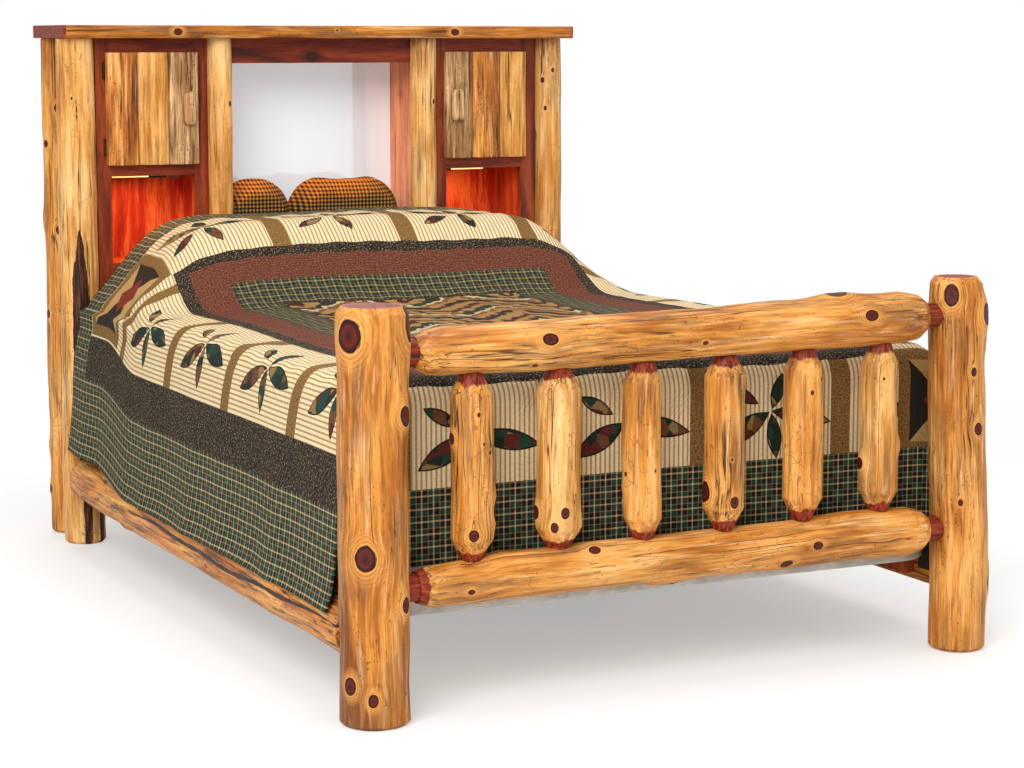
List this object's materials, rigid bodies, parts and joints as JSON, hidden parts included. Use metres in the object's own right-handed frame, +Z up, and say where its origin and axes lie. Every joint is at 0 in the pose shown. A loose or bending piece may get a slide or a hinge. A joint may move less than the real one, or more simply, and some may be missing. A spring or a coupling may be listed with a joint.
{
  "type": "rustic log bed",
  "caption": "Log bed with a tenoned log footboard, half-log side rails, and a deep headboard with lit niches, hinged cupboards and a mirror, made up with a patchwork quilt.",
  "frame": {"origin": "on the floor under the middle of the bed's bounding box", "axes": "+Z up, +Y from the footboard to the headboard, +X to the right as seen from the foot"},
  "size_m": [1.69, 2.5105, 1.5082],
  "materials": {
    "varnished_log": "gloss varnish over peeled cedar log with dark red knots",
    "varnished_slab": "gloss varnish, rough sawn slab edge",
    "red_cedar": "satin varnish over red cedar boards",
    "mirror_glass": "silvered glass",
    "bronzed_steel": "dark bronze",
    "black_steel": "black satin",
    "black_plastic": "moulded black",
    "grey_plastic": "moulded grey",
    "frosted_tube": "frosted warm lamp tube",
    "pine_slat": "planed pine, unfinished",
    "box_spring_cloth": "cream woven cloth",
    "mattress_ticking": "cream quilted ticking",
    "pillow_check": "tan and black small check cotton",
    "quilt_patchwork": "quilted cotton patchwork of ticking stripes, plaid and plain borders"
  },
  "bodies": {
    "root": {"back_panel": "red_cedar", "bed_slats": "pine_slat", "box_spring": "box_spring_cloth", "cabinet_bottoms": "red_cedar", "cabinet_inner_sides": "red_cedar", "cabinet_lower_panels": "red_cedar", "cabinet_lower_shelves": "red_cedar", "cabinet_middle_shelves": "red_cedar", "cabinet_outer_sides": "red_cedar", "cable_grommets": "grey_plastic", "face_frame_rails": "red_cedar", "face_frame_stiles": "red_cedar", "footboard_bottom_rail": "varnished_log", "footboard_post_left": "varnished_log", "footboard_post_right": "varnished_log", "footboard_spindle_1": "varnished_log", "footboard_spindle_2": "varnished_log", "footboard_spindle_3": "varnished_log", "footboard_spindle_4": "varnished_log", "footboard_spindle_5": "varnished_log", "footboard_spindle_6": "varnished_log", "footboard_top_rail": "varnished_log", "headboard_cross_rail": "varnished_log", "headboard_front_post_left": "varnished_log", "headboard_front_post_right": "varnished_log", "headboard_half_log_left": "varnished_log", "headboard_half_log_right": "varnished_log", "headboard_rear_post_left": "varnished_log", "headboard_rear_post_right": "varnished_log", "hinge_frame_leaves": "bronzed_steel", "hinge_pins": "bronzed_steel", "lamp_base_left": "black_plastic", "lamp_base_right": "black_plastic", "lamp_tube_left": "frosted_tube", "lamp_tube_right": "frosted_tube", "mattress": "mattress_ticking", "mirror_glass": "mirror_glass", "nook_cushion_left": "pillow_check", "nook_cushion_right": "pillow_check", "nook_front_panel": "red_cedar", "nook_shelf": "red_cedar", "pillow_lower_left": "pillow_check", "pillow_lower_right": "pillow_check", "pillow_upper_left": "pillow_check", "pillow_upper_right": "pillow_check", "quilt": "quilt_patchwork", "rail_cleats": "red_cedar", "rail_hook_plates": "black_steel", "side_rail_left": "varnished_log", "side_rail_right": "varnished_log", "top_board": "varnished_slab", "valance": "red_cedar"},
    "door_left": {"door_left_battens": "red_cedar", "door_left_handle": "varnished_log", "door_left_hinge_leaves": "bronzed_steel", "door_left_slats": "varnished_log"},
    "door_right": {"door_right_battens": "red_cedar", "door_right_handle": "varnished_log", "door_right_hinge_leaves": "bronzed_steel", "door_right_slats": "varnished_log"}
  },
  "joints": [
    {"name": "door_left_hinge", "type": "hinge", "parent": "root", "child": "door_left", "pos_m": [-0.6809, 0.9962, 1.2675], "axis": [0, 0, -1], "range_deg": [0, 100]},
    {"name": "door_right_hinge", "type": "hinge", "parent": "root", "child": "door_right", "pos_m": [0.6809, 0.9962, 1.2675], "axis": [0, 0, 1], "range_deg": [0, 100]}
  ]
}
